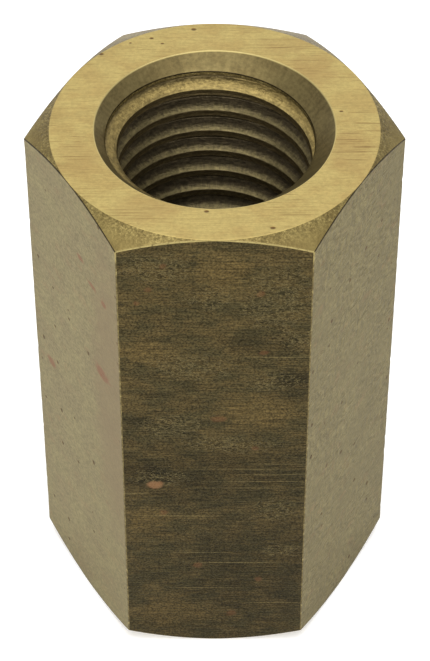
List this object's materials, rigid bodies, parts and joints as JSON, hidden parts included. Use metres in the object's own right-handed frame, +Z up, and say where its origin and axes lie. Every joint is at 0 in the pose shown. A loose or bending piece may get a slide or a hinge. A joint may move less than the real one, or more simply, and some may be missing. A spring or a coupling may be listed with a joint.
{
  "type": "hex coupling nut",
  "caption": "Long hexagonal coupling nut in brass with a right-hand thread right through, a countersink at each mouth and 30 degree chamfered ends.",
  "frame": {"origin": "centre of the lower end face, on the bore axis", "axes": "+Z up along the bore, -Y out of one wrench flat, two corners on the X axis"},
  "size_m": [0.044, 0.0382, 0.0698],
  "materials": {
    "brass": "aged satin, worn bright on the corners"
  },
  "bodies": {
    "root": {"hex_coupling_nut": "brass"}
  },
  "joints": []
}
